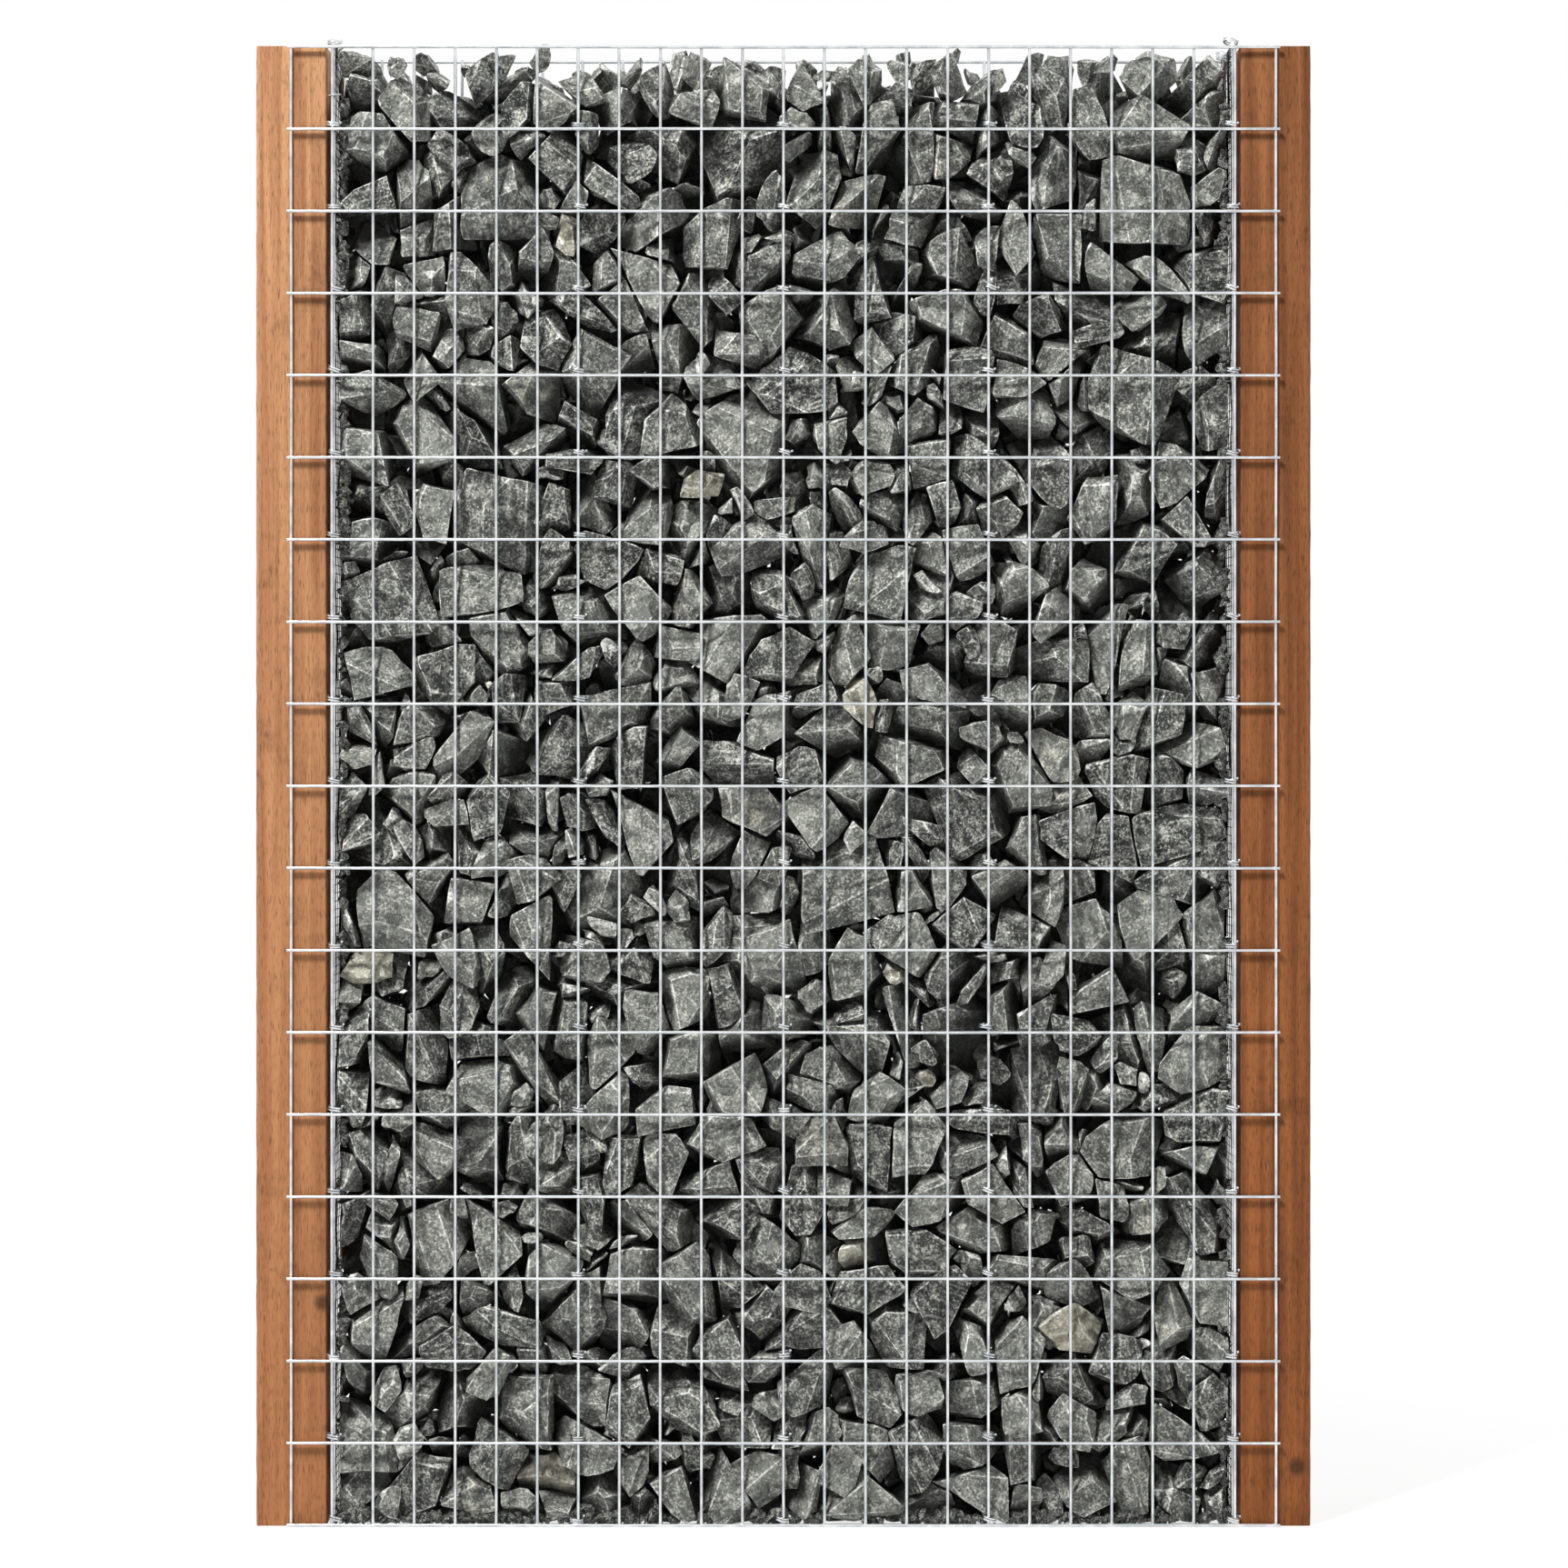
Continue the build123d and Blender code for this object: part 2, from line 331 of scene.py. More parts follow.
mesh_zinc = galvanised_wire("galvanised_mesh_wire", "#eceeef", "#c6cacd", 0.2)
tie_zinc = galvanised_wire("galvanised_tie_wire", "#eeeff0", "#c8ccce", 0.2)
# The end liners' near-black colour is painted shade: the ends of the fill lie in the shadow of the posts and
# the stones
shaded_liner_zinc = galvanised_wire("liner_wire_painted_shade", "#2a2c2e", "#1b1d1e", 0.6)
left_hardwood = planed_hardwood(
    "left_post_hardwood", "#c7956b", "#b4794e", "#915c3a", "#482d1c", (39 * MM, post_low.y, 272 * MM)
)
right_hardwood = planed_hardwood(
    "right_post_hardwood", "#9a643e", "#985a2e", "#663a1e", "#381e0f", (1226 * MM, post_low.y, 72 * MM)
)
split_face = split_limestone("split_limestone", "#2a2c2b", "#7c7e78", "#dcddd3", "#fbfbf5")

# ---------------------------------------------------------------- piece helpers


def add_part(piece, part):
    """Moves the finished part into the piece's mesh."""
    carrier = bpy.data.meshes.new("carrier")
    part.to_mesh(carrier)
    part.free()
    piece.from_mesh(carrier)
    bpy.data.meshes.remove(carrier)


def settle_in(made, nodes):
    """Hangs a finished object on the fence and hides the CAD nodes that it stands for."""
    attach(made, "root")
    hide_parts(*nodes)


def finish_piece(name, piece, materials, nodes, smooth_angle=40):
    """Makes the bmesh an object that rides on the fence and stands for its CAD nodes."""
    mesh = bpy.data.meshes.new(name)
    piece.to_mesh(mesh)
    piece.free()
    for material in materials:
        mesh.materials.append(material)
    mesh.shade_smooth()
    mesh.set_sharp_from_angle(angle=math.radians(smooth_angle))
    made = bpy.data.objects.new(name, mesh)
    bpy.context.scene.collection.objects.link(made)
    settle_in(made, nodes)
    return made


def straight_wire(start, end, diameter, step, sides=12):
    """A round wire with closed, slightly eased ends and a ring of corners at every step."""
    run = end - start
    wire = bmesh.new()
    bmesh.ops.create_cone(
        wire, cap_ends=True, segments=sides, radius1=diameter / 2, radius2=diameter / 2, depth=run.length
    )
    rims = [edge for edge in wire.edges if edge.calc_face_angle(0) > 1.2]
    bmesh.ops.bevel(
        wire,
        geom=rims,
        offset=diameter / 8,
        offset_type="OFFSET",
        segments=1,
        profile=0.5,
        affect="EDGES",
        material=-1,
    )
    lengthwise = [edge for edge in wire.edges if edge.calc_length() > 0.8 * run.length]
    bmesh.ops.subdivide_edges(wire, edges=lengthwise, cuts=max(round(run.length / step) - 1, 1))
    turn = run.to_track_quat("Z", "Y").to_matrix().to_4x4()
    bmesh.ops.transform(wire, matrix=Matrix.Translation((start + end) / 2) @ turn, verts=wire.verts)
    return wire


# ---------------------------------------------------------------- welded mesh panels

WIRE_BEND = 0.5 * MM
BENDS_PER_METRE = 3.2


def bend(wire, seed, direction, along):
    """Lets a wire wander a little to either side over a few hand spans."""
    for vertex in wire.verts:
        travel = vertex.co[along]
        vertex.co += direction * WIRE_BEND * noise.noise(Vector((travel * BENDS_PER_METRE, seed * 7.3, 0)))


def mesh_panel(name, side, nodes):
    """One welded panel; side is -1 in front and 1 behind."""
    panel = bmesh.new()
    for column in range(CELLS_ACROSS + 1):
        x = PANEL_LEFT + column * CELL_WIDTH
        foot = Vector((x, side * UPRIGHT_Y, 0))
        wire = straight_wire(foot, foot + PANEL_TOP * UP, WIRE, CELL_HEIGHT / 2)
        bend(wire, column + 40 * side, Vector((1, 0, 0)), 2)
        add_part(panel, wire)
    for row, z in enumerate(CROSS_HEIGHTS):
        left = Vector((PANEL_LEFT - WIRE_OVERHANG, side * CROSS_Y, z))
        right = Vector((PANEL_RIGHT + WIRE_OVERHANG, side * CROSS_Y, z))
        wire = straight_wire(left, right, WIRE, CELL_WIDTH)
        bend(wire, row + 100 + 40 * side, UP, 0)
        add_part(panel, wire)
    return finish_piece(name, panel, [mesh_zinc], nodes)


mesh_panel("front_panel", -1, ["front_mesh_lower", "front_mesh_upper"])
mesh_panel("back_panel", 1, ["back_mesh_lower", "back_mesh_upper"])

# ---------------------------------------------------------------- ties

EYE_TURNS = 2
EYE_RADIUS = 6.9 * MM + TIE_WIRE / 2
EYE_STEPS = 13  # for each turn
EYE_PITCH = 1.12 * TIE_WIRE
EYE_TAIL = 14 * MM
TIE_SIDES = 6
EYE_SAG = 5 * MM  # how much higher a tilted eye has to sit to clear the cross wire
SPARE_HOOK_Z = PANEL_TOP - 60 * MM  # a single open hook between the two upper ties at the left
SPARE_HOOK_TURNS = 0.75


def tie_eye(centre, facing, turn, turns=EYE_TURNS):
    """A straight tail that runs into close turns of wire round an upright, and where the tail starts."""
    eye = bmesh.new()
    bmesh.ops.create_circle(eye, cap_ends=True, segments=TIE_SIDES, radius=TIE_WIRE / 2)
    ahead = Vector((0, facing, 0)).to_track_quat("Z", "Y").to_matrix().to_4x4()
    start = Vector((-facing * EYE_RADIUS, -facing * EYE_TAIL, -EYE_PITCH * turns / 2))
    bmesh.ops.transform(eye, matrix=Matrix.Translation(start) @ ahead, verts=eye.verts)
    tail = bmesh.ops.extrude_face_region(eye, geom=eye.faces[:])["geom"]
    tail_end = [item for item in tail if isinstance(item, bmesh.types.BMVert)]
    bmesh.ops.translate(eye, vec=(0, facing * EYE_TAIL, 0), verts=tail_end)
    front = [item for item in tail if isinstance(item, bmesh.types.BMFace)]
    bmesh.ops.spin(
        eye,
        geom=front + tail_end + list({edge for face in front for edge in face.edges}),
        cent=(0, 0, 0),
        axis=(0, 0, 1),
        dvec=(0, 0, EYE_PITCH / EYE_STEPS),
        angle=-2 * math.pi * turns,
        steps=round(EYE_STEPS * turns),
    )
    bmesh.ops.recalc_face_normals(eye, faces=eye.faces)
    place = Matrix.Translation(centre) @ turn.to_matrix().to_4x4()
    bmesh.ops.transform(eye, matrix=place, verts=eye.verts)
    return eye, place @ start


def tie_column(node):
    """The ties of one column: an eye at the front and one at the back of each, with a straight shaft."""
    low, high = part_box(node)
    rng = random.Random(node)
    column = bmesh.new()
    eye_x = (low.x + high.x) / 2
    eye_y = high.y - (high.x - low.x) / 2
    tied_heights = [z for z in CROSS_HEIGHTS if z < high.z]
    for z in tied_heights:
        tails = []
        for facing in (-1, 1):
            tilt = math.radians(rng.gauss(6, 6))
            turn = Euler((math.radians(rng.gauss(0, 4)), tilt, 0))
            rise = (WIRE + TIE_WIRE + EYE_PITCH * EYE_TURNS) / 2 + EYE_SAG * abs(math.sin(tilt))
            centre = Vector((eye_x + rng.gauss(0, 1.2) * MM, facing * eye_y, z + rise))
            eye, tail = tie_eye(centre, facing, turn)
            tails.append(tail)
            add_part(column, eye)
        add_part(column, straight_wire(tails[0], tails[1], TIE_WIRE, 1, TIE_SIDES))
    if node == "left_end_ties":
        centre = Vector((eye_x, -eye_y, SPARE_HOOK_Z))
        hook, _ = tie_eye(centre, -1, Euler((0, math.radians(-8), 0)), SPARE_HOOK_TURNS)
        add_part(column, hook)
    return finish_piece(node.replace("_ties", "_tie_wires"), column, [tie_zinc], [node])


for tie_node in TIE_NODES:
    tie_column(tie_node)

# ---------------------------------------------------------------- corner rods and end liners


ROD_STEP = 25 * MM


def corner_rod(node):
    """An upright rod tied in behind a panel's wire."""
    low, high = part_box(node)
    middle = (low + high) / 2
    foot = Vector((middle.x, middle.y, low.z))
    rod = straight_wire(foot, foot + (high.z - low.z) * UP, WIRE, ROD_STEP)
    bend(rod, middle.x + middle.y, Vector((1, 0, 0)), 2)
    return finish_piece(node.replace("_rod", "_rod_wire"), rod, [mesh_zinc], [node])


for rod_node in ("front_left", "front_right", "back_left", "back_right"):
    corner_rod(rod_node + "_corner_rod")

LINER_WIRE = 1.3 * MM
LINER_CELL = 10 * MM
LINER_BULGE = 3 * MM
LINER_PEAK = 10 * MM  # the left liner's front corner is bent up
PEAK_DEPTH = 25 * MM  # how far down the bend reaches
PEAK_Y = -26 * MM
PEAK_SPREAD = 15 * MM


def end_liner(node, outward):
    """Fine welded mesh, pushed out towards the post by the stones between the ties."""
    low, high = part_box(node)
    x = (low.x + high.x) / 2 + outward * END_PUSH
    seed = 3.7 * outward
    liner = bmesh.new()
    uprights = round((high.y - low.y) / LINER_CELL) + 1
    spacing = (high.y - low.y - LINER_WIRE) / (uprights - 1)
    for number in range(uprights):
        y = low.y + LINER_WIRE / 2 + number * spacing
        foot = Vector((x, y, low.z))
        add_part(liner, straight_wire(foot, foot + (high.z - low.z) * UP, LINER_WIRE, 2 * LINER_CELL, 4))
    for number in range(round((high.z - low.z) / LINER_CELL)):
        z = low.z + LINER_WIRE + number * LINER_CELL
        cross_x = x + LINER_WIRE * 0.8 * outward
        start, end = Vector((cross_x, low.y, z)), Vector((cross_x, high.y, z))
        add_part(liner, straight_wire(start, end, LINER_WIRE, 2 * LINER_CELL, 4))
    for vertex in liner.verts:
        y, z = vertex.co.y, vertex.co.z
        between_ties = math.sin(math.pi * (z - WIRE) / CELL_HEIGHT) ** 2
        push = noise.noise(Vector((y * 22, z * 16, seed))) + 0.35
        vertex.co.x += outward * LINER_BULGE * push * (0.35 + 0.65 * between_ties)
        lift = (z - high.z + PEAK_DEPTH) / PEAK_DEPTH
        if outward < 0 and lift > 0:
            vertex.co.z += LINER_PEAK * lift * math.exp(-(((y - PEAK_Y) / PEAK_SPREAD) ** 2))
    return finish_piece(node + "_mesh", liner, [shaded_liner_zinc], [node], 60)


end_liner("left_end_liner", -1)
end_liner("right_end_liner", 1)

# ---------------------------------------------------------------- posts

POST_EASE = 2.2 * MM
POST_WEAR = 0.6 * MM
POST_RINGS = 90


def post(node, material):
    """A planed square post with eased edges that wander a little."""
    low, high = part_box(node)
    timber = bmesh.new()
    bmesh.ops.create_cube(timber, size=1)
    bmesh.ops.scale(timber, vec=high - low, verts=timber.verts)
    bmesh.ops.translate(timber, vec=(low + high) / 2, verts=timber.verts)
    long_edges = [edge for edge in timber.edges if edge.calc_length() > (high.z - low.z) / 2]
    bmesh.ops.subdivide_edges(timber, edges=long_edges, cuts=POST_RINGS)
    arrises = [edge for edge in timber.edges if abs(edge.verts[0].co.z - edge.verts[1].co.z) > MM]
    bmesh.ops.bevel(
        timber,
        geom=arrises,
        offset=POST_EASE,
        offset_type="OFFSET",
        segments=3,
        profile=0.5,
        affect="EDGES",
        material=-1,
    )
    centre = (low + high) / 2
    for vertex in timber.verts:
        side = vertex.co - centre
        if abs(abs(side.x) - abs(side.y)) < POST_EASE and low.z < vertex.co.z < high.z:
            wear = POST_WEAR * (noise.noise(vertex.co * 45) - 0.6)
            vertex.co += Vector((math.copysign(wear, side.x), math.copysign(wear, side.y), 0))
    return finish_piece(node + "_timber", timber, [material], [node])


post("left_post", left_hardwood)
post("right_post", right_hardwood)

# ---------------------------------------------------------------- crushed stone

SHAPES = 90
SMALL_SHAPES = 22  # the first of them are the small stones that lie between the others
STONES = 2050
SMALL_STONES = 650
STONE_LENGTHS = ((44, 62), (60, 84), (60, 92))
SMALL_LENGTHS = ((26, 40),)
LONG_EDGE = 17 * MM  # longer edges are nicked
SPLIT_FACE = 9 * MM  # faces at least this wide get a rim
BROAD_FACE = 14 * MM  # and from this width they are hollowed or crowned as well
PLAY = 9 * MM  # how far a stone may stand back from the panel at first
NESTING = 0.76  # how much of a stone's box it keeps to itself in the loose stack
BIN = 10 * MM
LARGE = 10  # the stones are settled at ten times their size, where the solver works best
SETTLE_FRAMES = 22
STEPS_PER_FRAME = 10
GRAVITY = 30.0
STONE_FRICTION = 0.4
DAMPING = 0.9
HEAP_TOP = PANEL_TOP + 8 * MM
SIGHT_STEP = 3 * MM  # the fill is searched for gaps that show daylight at this spacing
WORN = 0.93  # how much of a stone's hull is left once it is weathered
TOPPING_TRIES = 400
TOPPING_ZONE = 160 * MM  # the stones this near the top are what the last ones come to rest on
TOPPING_SINK = 3 * MM
WEDGE_RADII = (6 * MM, 20 * MM)
OPEN_TOP = 70 * MM  # depth of the loosely filled top, where daylight shows here and there
PROUD_X = PANEL_LEFT + 372 * MM  # one stone stands proud of the top wire here
PROUD_RISE = 18 * MM
PROUD_SPREAD = 60 * MM


def join_flat_faces(stone, degrees):
    """Joins the faces that meet at less than this angle."""
    bmesh.ops.dissolve_limit(
        stone,
        angle_limit=math.radians(degrees),
        verts=stone.verts,
        edges=stone.edges,
        use_dissolve_boundaries=False,
    )


def stone_blank(rng, length, width, thickness):
    """A convex lump bounded by flat split faces that lie at random angles."""
    blank = bmesh.new()
    bmesh.ops.create_cube(blank, size=2.5)
    for _ in range(rng.randint(8, 13)):
        facing = Vector([rng.gauss(0, 1) for _ in range(3)]).normalized()
        bmesh.ops.bisect_plane(
            blank,
            geom=blank.verts[:] + blank.edges[:] + blank.faces[:],
            plane_co=facing * rng.uniform(0.62, 1.0),
            plane_no=facing,
            clear_outer=True,
        )
        bmesh.ops.holes_fill(blank, edges=[edge for edge in blank.edges if edge.is_boundary], sides=0)
    bmesh.ops.scale(blank, vec=(length / 2, width / 2, thickness / 2), verts=blank.verts)
    bmesh.ops.remove_doubles(blank, verts=blank.verts, dist=4 * MM)
    # The hull is drawn round bare corners, so that no old face is left inside it
    bmesh.ops.delete(blank, geom=blank.edges[:], context="EDGES_FACES")
    inner = bmesh.ops.convex_hull(blank, input=blank.verts)["geom_interior"]
    inner_corners = [item for item in inner if isinstance(item, bmesh.types.BMVert)]
    bmesh.ops.delete(blank, geom=inner_corners, context="VERTS")
    join_flat_faces(blank, 5)
    return blank


def break_long_edges(stone, rng):
    """Knocks a nick into every long edge."""
    long_edges = [edge for edge in stone.edges if edge.calc_length() > LONG_EDGE]
    before = set(stone.verts)
    bmesh.ops.subdivide_edges(stone, edges=long_edges, cuts=1)
    stone.normal_update()
    nicks = [(v, v.normal * rng.uniform(0.0, 2.8) * MM) for v in stone.verts if v not in before]
    for vertex, depth in nicks:
        vertex.co -= depth


def weather(stone, rng):
    """Chips the sharp edges, hollows the split faces and marks the mesh corners that lie on an edge."""
    edge_layer = stone.verts.layers.float.new("stone_edge")
    join_flat_faces(stone, 11)
    break_long_edges(stone, rng)
    bmesh.ops.bevel(
        stone,
        geom=[edge for edge in stone.edges if edge.calc_face_angle(0) > math.radians(18)],
        offset=0.9 * MM,
        offset_type="OFFSET",
        segments=1,
        profile=0.5,
        affect="EDGES",
        material=1,
        clamp_overlap=True,
    )
    for vertex in stone.verts:
        if any(face.material_index == 1 for face in vertex.link_faces):
            vertex[edge_layer] = 1.0
    split = [face for face in stone.faces if face.material_index == 0]
    facets = [face for face in split if face.calc_area() > SPLIT_FACE**2]
    rim = set(stone.verts)
    bmesh.ops.inset_individual(stone, faces=facets, thickness=1.7 * MM)
    for vertex in stone.verts:
        if vertex not in rim:
            vertex[edge_layer] = 0.0
    for facet in facets:
        if facet.calc_area() > BROAD_FACE**2:
            centre = bmesh.ops.poke(stone, faces=[facet], offset=rng.uniform(-3.0, 1.6) * MM)["verts"]
            centre[0][edge_layer] = 0.0
    bmesh.ops.triangulate(stone, faces=[face for face in stone.faces if len(face.verts) > 4])
    bmesh.ops.recalc_face_normals(stone, faces=stone.faces)
    for face in stone.faces:
        face.material_index = 0
    shift = Vector((rng.uniform(-9, 9), rng.uniform(-9, 9), rng.uniform(-9, 9)))
    stone.normal_update()
    moves = []
    for vertex in stone.verts:
        swell = 1.4 * noise.noise(vertex.co * 40 + shift) + 0.9 * noise.noise(vertex.co * 130 + shift) - 0.2
        moves.append((vertex, vertex.normal * swell * MM))
    for vertex, move in moves:
        vertex.co += move
    return stone


def plain_stone(name, blank):
    """A small stone for the dark of the fill: its hull, marked like the rest."""
    shape = blank.copy()
    rest_layer = shape.verts.layers.float_vector.new("stone_rest")
    shape.verts.layers.float.new("stone_edge")
    for vertex in shape.verts:
        vertex[rest_layer] = vertex.co
    mesh = bpy.data.meshes.new(name)
    shape.to_mesh(mesh)
    shape.free()
    mesh.materials.append(split_face)
    return mesh


def stone_shapes(rng):
    """The stock of stones, each as a plain hull to settle and a weathered mesh to show."""
    hulls, shown, plain = [], [], []
    for number in range(SHAPES):
        lengths = SMALL_LENGTHS if number < SMALL_SHAPES else STONE_LENGTHS
        length = rng.uniform(*rng.choice(lengths)) * MM
        width = length * rng.uniform(0.6, 0.95)
        thickness = width * rng.uniform(0.42, 0.92)
        blank = stone_blank(rng, length, width, thickness)
        shape = blank.copy()
        rest_layer = shape.verts.layers.float_vector.new("stone_rest")
        weather(shape, rng)
        for vertex in shape.verts:
            vertex[rest_layer] = vertex.co
        mesh = bpy.data.meshes.new(f"stone_{number}")
        shape.to_mesh(mesh)
        shape.free()
        mesh.materials.append(split_face)
        mesh.shade_smooth()
        mesh.set_sharp_from_angle(angle=math.radians(20))
        shown.append(mesh)
        if number < SMALL_SHAPES:
            plain.append(plain_stone(f"plain_stone_{number}", blank))
        hull = bpy.data.meshes.new(f"hull_{number}")
        bmesh.ops.scale(blank, vec=(LARGE, LARGE, LARGE), verts=blank.verts)
        blank.to_mesh(hull)
        blank.free()
        hulls.append(hull)
    return hulls, shown, plain


def block(name, low, high):
    """A plain box for the stones to lie against while they settle."""
    mesh = bpy.data.meshes.new(name)
    shape = bmesh.new()
    bmesh.ops.create_cube(shape, size=1)
    bmesh.ops.scale(shape, vec=high - low, verts=shape.verts)
    shape.to_mesh(mesh)
    shape.free()
    made = bpy.data.objects.new(name, mesh)
    made.location = (low + high) / 2
    bpy.context.scene.collection.objects.link(made)
    return made


def make_rigid(objects, kind):
    """Gives the objects rigid bodies of one kind."""
    bpy.ops.object.select_all(action="DESELECT")
    for item in objects:
        item.select_set(True)
    bpy.context.view_layer.objects.active = objects[0]
    bpy.ops.rigidbody.objects_add(type=kind)


def flat_turn(hull, size, depth, rng):
    """A random attitude no deeper than the row, or the shallowest of many, and the stone's box in it."""
    best = None
    for _ in range(24):
        turn = Euler([rng.uniform(0, 2 * math.pi) for _ in range(3)])
        corners = [turn.to_matrix() @ vertex.co * size for vertex in hull.vertices]
        low = Vector([min(corner[axis] for corner in corners) for axis in range(3)])
        high = Vector([max(corner[axis] for corner in corners) for axis in range(3)])
        if best is None or high.y - low.y < best[2].y - best[1].y:
            best = (turn, low, high)
        if high.y - low.y < depth:
            break
    return best


def lowest_rest(skylines, bins):
    """The row and the first bin where a stone that many bins wide rests lowest."""
    rests = []
    for row, skyline in enumerate(skylines):
        for first in range(len(skyline) - bins + 1):
            rests.append((max(skyline[first : first + bins]), row, first))
    return min(rests)


def settle(hulls, picks, rng):
    """Stacks the stones loosely in two rows, lets them fall in and returns where each comes to rest."""
    scene = bpy.context.scene
    left, right, half = fill_left * LARGE, fill_right * LARGE, fill_half_depth * LARGE
    bin_count = int((right - left) / (BIN * LARGE))
    skylines = [[0.0] * bin_count, [0.0] * bin_count]
    drop = []
    for number, (shape, size) in enumerate(picks):
        turn, stone_low, stone_high = flat_turn(hulls[shape], size, half * 1.3, rng)
        stone = bpy.data.objects.new(f"drop_{number}", hulls[shape])
        stone.scale = (size, size, size)
        stone.rotation_euler = turn
        scene.collection.objects.link(stone)
        drop.append(stone)
        if shape < SMALL_SHAPES:
            stone.location = (rng.uniform(left + 0.3, right - 0.3), 0, rng.uniform(0.3, PANEL_TOP * LARGE))
            continue
        bins = round(NESTING * (stone_high.x - stone_low.x) / (BIN * LARGE))
        rest, row, first = lowest_rest(skylines, bins)
        skylines[row][first : first + bins] = [rest + NESTING * (stone_high.z - stone_low.z)] * bins
        play = rng.uniform(0, PLAY * LARGE)
        y = -half - stone_low.y + play if row == 0 else half - stone_high.y - play
        middle = left + (first + bins / 2) * BIN * LARGE - (stone_low.x + stone_high.x) / 2
        middle = min(max(middle, left - stone_low.x), right - stone_high.x)
        stone.location = (middle, y, rest - stone_low.z)
    tall, thick = max(skylines[0]) + 5, 3
    cage = [
        block("cage_front", Vector((left - 5, -half - thick, -thick)), Vector((right + 5, -half, tall))),
        block("cage_back", Vector((left - 5, half, -thick)), Vector((right + 5, half + thick, tall))),
        block("cage_left", Vector((left - thick, -half, -thick)), Vector((left, half, tall))),
        block("cage_right", Vector((right, -half, -thick)), Vector((right + thick, half, tall))),
        block("cage_ground", Vector((left - 5, -5, -thick)), Vector((right + 5, 5, 0))),
    ]
    bpy.ops.rigidbody.world_add()
    world = scene.rigidbody_world
    world.substeps_per_frame = STEPS_PER_FRAME
    world.solver_iterations = 10
    scene.gravity = (0, 0, -GRAVITY)
    make_rigid(drop, "ACTIVE")
    for stone in drop:
        stone.rigid_body.collision_shape = "CONVEX_HULL"
        stone.rigid_body.friction = STONE_FRICTION
        stone.rigid_body.restitution = 0.0
        stone.rigid_body.use_margin = True
        stone.rigid_body.collision_margin = 0.005
        stone.rigid_body.linear_damping = DAMPING
        stone.rigid_body.angular_damping = DAMPING
    make_rigid(cage, "PASSIVE")
    for wall in cage:
        wall.rigid_body.collision_shape = "BOX"
        wall.rigid_body.friction = 0.3
        wall.rigid_body.use_margin = True
        wall.rigid_body.collision_margin = 0.0
    for frame_number in range(1, SETTLE_FRAMES + 1):
        scene.frame_set(frame_number)
    places = [stone.matrix_world.copy() for stone in drop]
    squash = 1
    for place in places:
        place.translation /= LARGE
        place.translation.z *= squash
    bpy.ops.rigidbody.world_remove()
    scene.frame_set(1)
    for item in drop + cage:
        bpy.data.objects.remove(item)
    return places


def seated(hull, place):
    """Moves a stone back behind the panels; false when it lies outside the cage or above the fill."""
    corners = [place @ (vertex.co / LARGE) for vertex in hull.vertices]
    over = max(corner.y for corner in corners) - fill_half_depth
    under = -fill_half_depth - min(corner.y for corner in corners)
    place.translation.y += (max(under, 0) - max(over, 0)) / (2 if over > 0 and under > 0 else 1)
    centre = place.translation
    if over > 20 * MM or under > 20 * MM or not fill_left < centre.x < fill_right or centre.z < 0:
        return False
    top = max(corner.z for corner in corners)
    return top < HEAP_TOP + PROUD_RISE * math.exp(-(((centre.x - PROUD_X) / PROUD_SPREAD) ** 2))


def room_round(spot):
    """How far a spot in the fill lies from the nearest side of the cage or the ground."""
    return min(spot.x - fill_left, fill_right - spot.x, fill_half_depth - abs(spot.y), spot.z)


def hull_tree(hulls, laid):
    """The hulls of stones where they lie, as one tree that can be searched."""
    corners, faces = [], []
    for shape, place in laid:
        first = len(corners)
        corners += [place @ (vertex.co * WORN / LARGE) for vertex in hulls[shape].vertices]
        faces += [[first + corner for corner in face.vertices] for face in hulls[shape].polygons]
    return BVHTree.FromPolygons(corners, faces)


def topping_stones(hulls, laid, rng):
    """Stones put in last, each let down into a dip of the top until it touches: (shape, place) of each."""
    topmost = [(shape, place) for shape, place in laid if place.translation.z > PANEL_TOP - TOPPING_ZONE]
    topping = []
    for _ in range(TOPPING_TRIES):
        shape, size = rng.randrange(SMALL_SHAPES, SHAPES), rng.uniform(0.6, 1.0)
        turn, low, high = flat_turn(hulls[shape], size / LARGE, fill_half_depth * 1.2, rng)
        x = rng.uniform(fill_left - low.x, fill_right - high.x)
        y = rng.choice((-fill_half_depth - low.y, fill_half_depth - high.y))
        z = PANEL_TOP + rng.uniform(-18, 4) * MM - high.z
        heap = hull_tree(hulls, topmost + topping)
        resting, touched = None, False
        for drop in range(30):
            spot = Vector((x, y, z - drop * TOPPING_SINK))
            place = Matrix.LocRotScale(spot, turn, Vector((size, size, size)))
            touched = bool(heap.overlap(hull_tree(hulls, [(shape, place)])))
            if touched:
                break
            resting = place
        if touched and resting is not None:
            topping.append((shape, resting))
    return topping


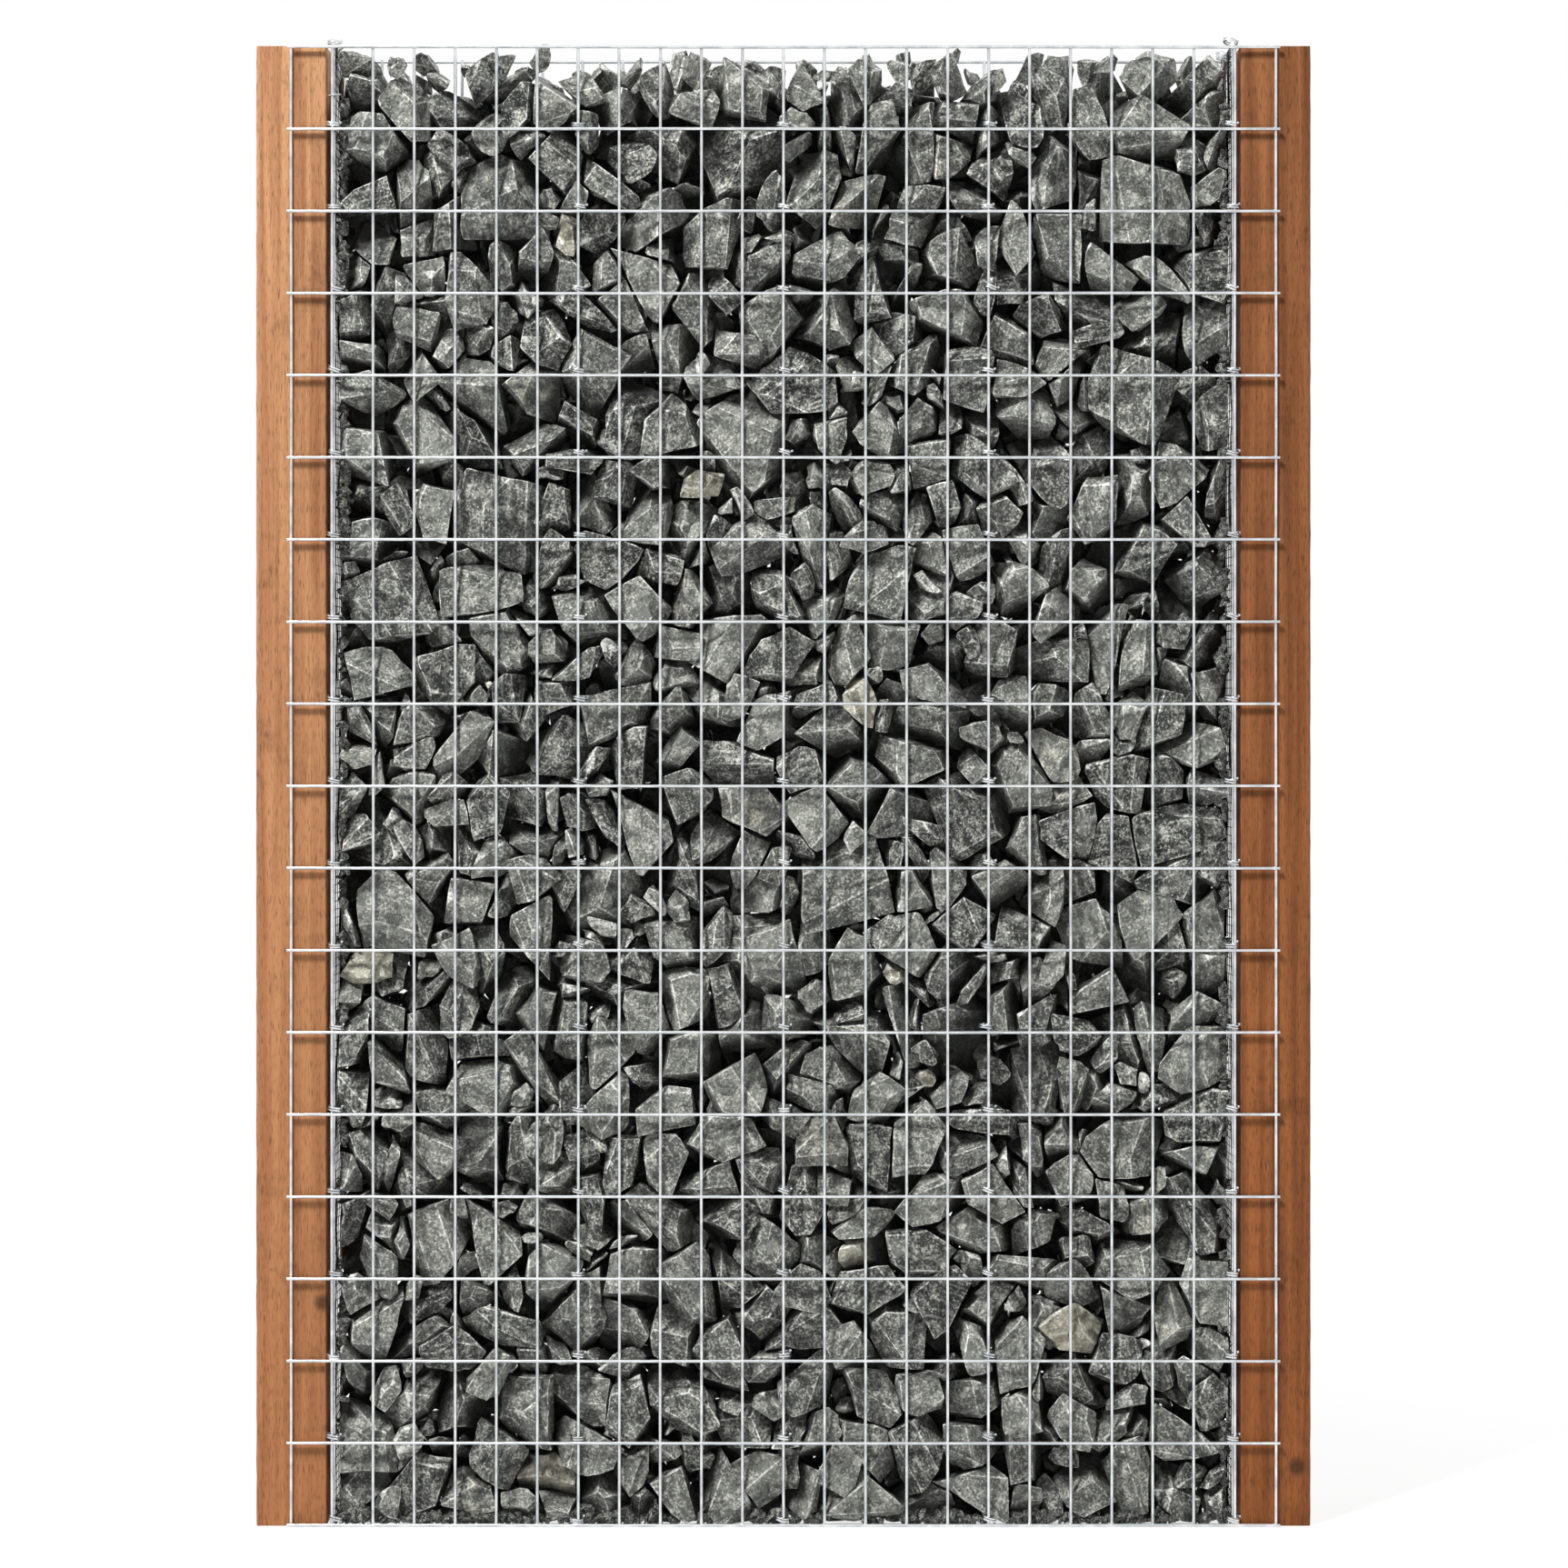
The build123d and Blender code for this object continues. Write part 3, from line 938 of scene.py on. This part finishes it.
def wedged_stones(hulls, laid, rng):
    """Plain small stones for the gaps that one could see through: (shape, place) of each."""
    tree = hull_tree(hulls, laid)
    eye = bpy.context.scene.camera.location
    wedged = []
    for row in range(round((PANEL_TOP - OPEN_TOP) / SIGHT_STEP)):
        for column in range(round((fill_right - fill_left) / SIGHT_STEP)):
            x, z = fill_left + (column + 0.5) * SIGHT_STEP, (row + 0.5) * SIGHT_STEP
            front = Vector((x, -fill_half_depth, z))
            sight = (front - eye).normalized()
            if tree.ray_cast(front - 20 * MM * sight, sight, 120 * MM)[0] is not None:
                continue
            if any((front - spot).cross(sight).length < 0.7 * radius for spot, radius in wedged[-200:]):
                continue
            spots = [front + sight * depth * MM for depth in range(8, 76, 6)]
            inside = [spot for spot in spots if room_round(spot) > 5 * MM][-6:]
            if inside:
                clearance, roomiest = max((tree.find_nearest(spot)[3], tuple(spot)) for spot in inside)
                widest = min(0.7 * room_round(Vector(roomiest)) + 1.5 * MM, WEDGE_RADII[1])
                wedged.append((Vector(roomiest), min(max(1.25 * clearance, WEDGE_RADII[0]), widest)))
    found = []
    for spot, radius in wedged:
        shape = rng.randrange(SMALL_SHAPES)
        reaches = [vertex.co.length / LARGE for vertex in hulls[shape].vertices]
        reach = sum(reaches) / len(reaches)
        turn = Euler([rng.uniform(0, 2 * math.pi) for _ in range(3)]).to_matrix().to_4x4()
        found.append((shape, Matrix.Translation(spot) @ turn @ Matrix.Scale(1.2 * radius / reach, 4)))
    return found


ALL_CALCITE, PART_CALCITE = 1.0, 0.72  # how much of a stone is cream


def laid_stone(mesh, place, tint, kind):
    """A stone where it came to rest, with the numbers that its colour is mixed from."""
    stone = mesh.copy()
    stone.transform(place)
    for name, value in (("stone_tint", tint), ("stone_kind", kind)):
        layer = stone.attributes.new(name, "FLOAT", "POINT")
        layer.data.foreach_set("value", [value] * len(stone.vertices))
    made = bpy.data.objects.new(mesh.name, stone)
    bpy.context.scene.collection.objects.link(made)
    return made


def bay_and_lift(place):
    """The bay, 1 to 4, and the lift in which a stone lies."""
    bay = 1 + sum(place.translation.x > edge for edge in BAY_EDGES)
    return bay, "lower" if place.translation.z < PANEL_SPLIT else "upper"


def stone_fill():
    """All the stones, gathered by bay and lift into the pieces that stand for the CAD blocks."""
    rng = random.Random(20)
    hulls, shown, plain = stone_shapes(rng)
    large_stones = STONES - SMALL_STONES
    picks = [(rng.randrange(SMALL_SHAPES, SHAPES), rng.uniform(0.88, 1.1)) for _ in range(large_stones)]
    picks += [(rng.randrange(SMALL_SHAPES), rng.uniform(0.88, 1.1)) for _ in range(SMALL_STONES)]
    places = settle(hulls, picks, rng)
    laid = [(shape, place) for (shape, _), place in zip(picks, places) if seated(hulls[shape], place)]
    laid += topping_stones(hulls, laid, rng)
    wedged = wedged_stones(hulls, laid, rng)
    fills, packing = defaultdict(list), defaultdict(bmesh.new)
    for shape, place in laid:
        tint, calcite = rng.random(), rng.random()
        kind = ALL_CALCITE if calcite > 0.99 else PART_CALCITE if calcite > 0.965 else 0.0
        fills[bay_and_lift(place)].append(laid_stone(shown[shape], place, tint, kind))
    for shape, place in wedged:
        stone = plain[shape].copy()
        stone.transform(place)
        packing[bay_and_lift(place)].from_mesh(stone)
        bpy.data.meshes.remove(stone)
    for key, small_stones in packing.items():
        mesh = plain[0].copy()
        small_stones.to_mesh(mesh)
        small_stones.free()
        made = bpy.data.objects.new("small_stones", mesh)
        bpy.context.scene.collection.objects.link(made)
        fills[key].append(made)
    for (bay, lift), stones in sorted(fills.items()):
        bpy.ops.object.select_all(action="DESELECT")
        for stone in stones:
            stone.select_set(True)
        bpy.context.view_layer.objects.active = stones[0]
        bpy.ops.object.join()
        stones[0].name = f"stones_bay_{bay}_{lift}"
        settle_in(stones[0], [f"stone_bay_{bay}_{lift}"])


stone_fill()

# ---------------------------------------------------------------- floor, sky and lamps


def white_when_seen(tree):
    """A socket that is 1 for what the camera, a reflection or a view through glass sees, and else 0."""
    path = add_node(tree, "ShaderNodeLightPath").outputs
    seen = add_node(
        tree, "ShaderNodeMath", {0: path["Is Camera Ray"], 1: path["Is Glossy Ray"]}, operation="MAXIMUM"
    )
    return add_node(tree, "ShaderNodeMath", {0: seen, 1: path["Is Transmission Ray"]}, operation="MAXIMUM")


def pale_floor():
    """A matt white floor that shows a light shadow."""
    material, tree, shader = new_material("matt_white_floor")
    shader.inputs["Base Color"].default_value = linear("#f2f2f2")
    shader.inputs["Roughness"].default_value = 0.9
    glow = add_node(tree, "ShaderNodeEmission", {"Color": linear("#ffffff"), "Strength": 1.05})
    place = add_node(tree, "ShaderNodeTexCoord").outputs["Object"]
    away = add_node(tree, "ShaderNodeVectorMath", {0: place, 1: VIEW_MIDDLE}, operation="DISTANCE")
    # Near the wall the floor keeps its shadow; further out it goes to white
    fade = add_node(
        tree,
        "ShaderNodeMapRange",
        {"Value": away, "From Min": 1.0, "From Max": 2.4, "To Min": 0.72, "To Max": 1.0},
        interpolation_type="SMOOTHSTEP",
    )
    share = add_node(tree, "ShaderNodeMath", {0: white_when_seen(tree), 1: fade}, operation="MULTIPLY")
    both = add_node(tree, "ShaderNodeMixShader", {0: share, 1: shader.outputs["BSDF"], 2: glow.outputs[0]})
    output = next(node for node in tree.nodes if node.type == "OUTPUT_MATERIAL")
    tree.links.new(both.outputs[0], output.inputs["Surface"])
    surface = bmesh.new()
    bmesh.ops.create_circle(surface, cap_ends=True, segments=64, radius=6)
    bmesh.ops.translate(surface, vec=(VIEW_MIDDLE.x, 0, -0.5 * MM), verts=surface.verts)
    mesh = bpy.data.meshes.new("studio_floor")
    surface.to_mesh(mesh)
    surface.free()
    mesh.materials.append(material)
    floor = bpy.data.objects.new("studio_floor", mesh)
    bpy.context.scene.collection.objects.link(floor)


def studio_sky(fill_strength):
    """White to look at and in reflections, and a faint fill as light."""
    world = bpy.data.worlds.new("studio_sky")
    bpy.context.scene.world = world
    world.use_nodes = True
    tree = world.node_tree
    tree.nodes.clear()
    strength = add_node(
        tree, "ShaderNodeMapRange", {"Value": white_when_seen(tree), "To Min": fill_strength, "To Max": 1.0}
    )
    sky = add_node(tree, "ShaderNodeBackground", {"Color": linear("#ffffff"), "Strength": strength})
    add_node(tree, "ShaderNodeOutputWorld", {"Surface": sky})


def lamp(name, place, size, power):
    """A square area lamp that faces the middle of the wall."""
    light = bpy.data.lights.new(name, "AREA")
    light.size = size
    light.energy = power
    made = bpy.data.objects.new(name, light)
    made.location = place
    made.rotation_euler = (VIEW_MIDDLE - place).to_track_quat("-Z", "Y").to_euler()
    bpy.context.scene.collection.objects.link(made)


pale_floor()
studio_sky(0.02)
lamp("key_lamp", Vector((-2.2, -3.2, 6.8)), 1.3, 780)
lamp("back_lamp", Vector((3.4, 3.8, 5.2)), 2.2, 420)

bpy.context.scene.view_settings.view_transform = "Standard"
